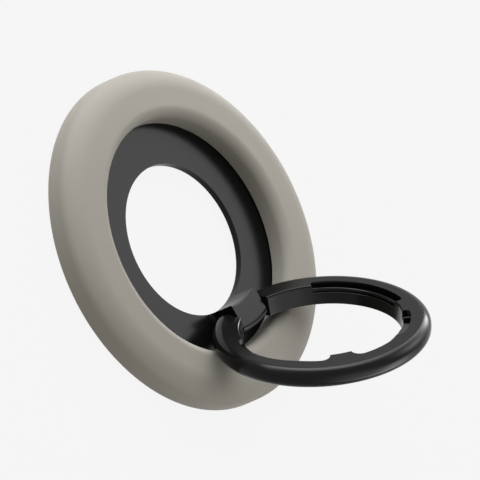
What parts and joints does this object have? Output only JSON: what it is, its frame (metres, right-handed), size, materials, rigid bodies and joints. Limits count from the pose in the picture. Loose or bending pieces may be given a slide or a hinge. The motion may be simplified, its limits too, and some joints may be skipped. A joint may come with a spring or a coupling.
{
  "type": "magnetic phone grip ring",
  "caption": "Round magnetic phone grip: a soft grey sleeve round a black plate with a window, and a black finger ring that folds out on a stiff hinge.",
  "frame": {"origin": "centre of the window, on the front face of the chassis plate", "axes": "+Z away from the phone along the window's axis; +X along the hinge axis; the hinge is at -Y"},
  "size_m": [0.0598, 0.0646, 0.035],
  "materials": {
    "silicone_sleeve": "soft-touch warm grey silicone",
    "black_chassis": "satin black coating on die-cast alloy",
    "black_ring": "satin black coating on die-cast zinc",
    "grip_pad": "fine matt black silicone",
    "carrier_plastic": "black moulded nylon",
    "plated_steel": "zinc plated mild steel",
    "magnet_nickel": "nickel plated magnet",
    "cover_plastic": "matt black polycarbonate",
    "bonding_film": "grey acrylic bonding film",
    "bush_steel": "spring steel",
    "washer_plastic": "black acetal",
    "pin_steel": "ground stainless steel"
  },
  "bodies": {
    "base": {"grip_sleeve": "silicone_sleeve", "chassis": "black_chassis", "contact_pad": "grip_pad", "magnet_carrier": "carrier_plastic", "magnet_01": "magnet_nickel", "magnet_02": "magnet_nickel", "magnet_03": "magnet_nickel", "magnet_04": "magnet_nickel", "magnet_05": "magnet_nickel", "magnet_06": "magnet_nickel", "magnet_07": "magnet_nickel", "magnet_08": "magnet_nickel", "magnet_09": "magnet_nickel", "magnet_10": "magnet_nickel", "magnet_11": "magnet_nickel", "magnet_12": "magnet_nickel", "magnet_13": "magnet_nickel", "magnet_14": "magnet_nickel", "magnet_15": "magnet_nickel", "magnet_16": "magnet_nickel", "magnet_17": "magnet_nickel", "magnet_18": "magnet_nickel", "shunt_ring": "plated_steel", "back_cover": "cover_plastic", "glue_ring": "bonding_film", "friction_bush": "bush_steel", "left_washer": "washer_plastic", "right_washer": "washer_plastic"},
    "ring": {"finger_ring": "black_ring", "hinge_pin": "pin_steel", "bore_plug": "black_ring"}
  },
  "joints": [
    {"name": "ring_hinge", "type": "hinge", "parent": "base", "child": "ring", "pos_m": [0, -0.0159, 0.0029], "axis": [1, 0, 0], "range_deg": [-121.2, 1]}
  ]
}
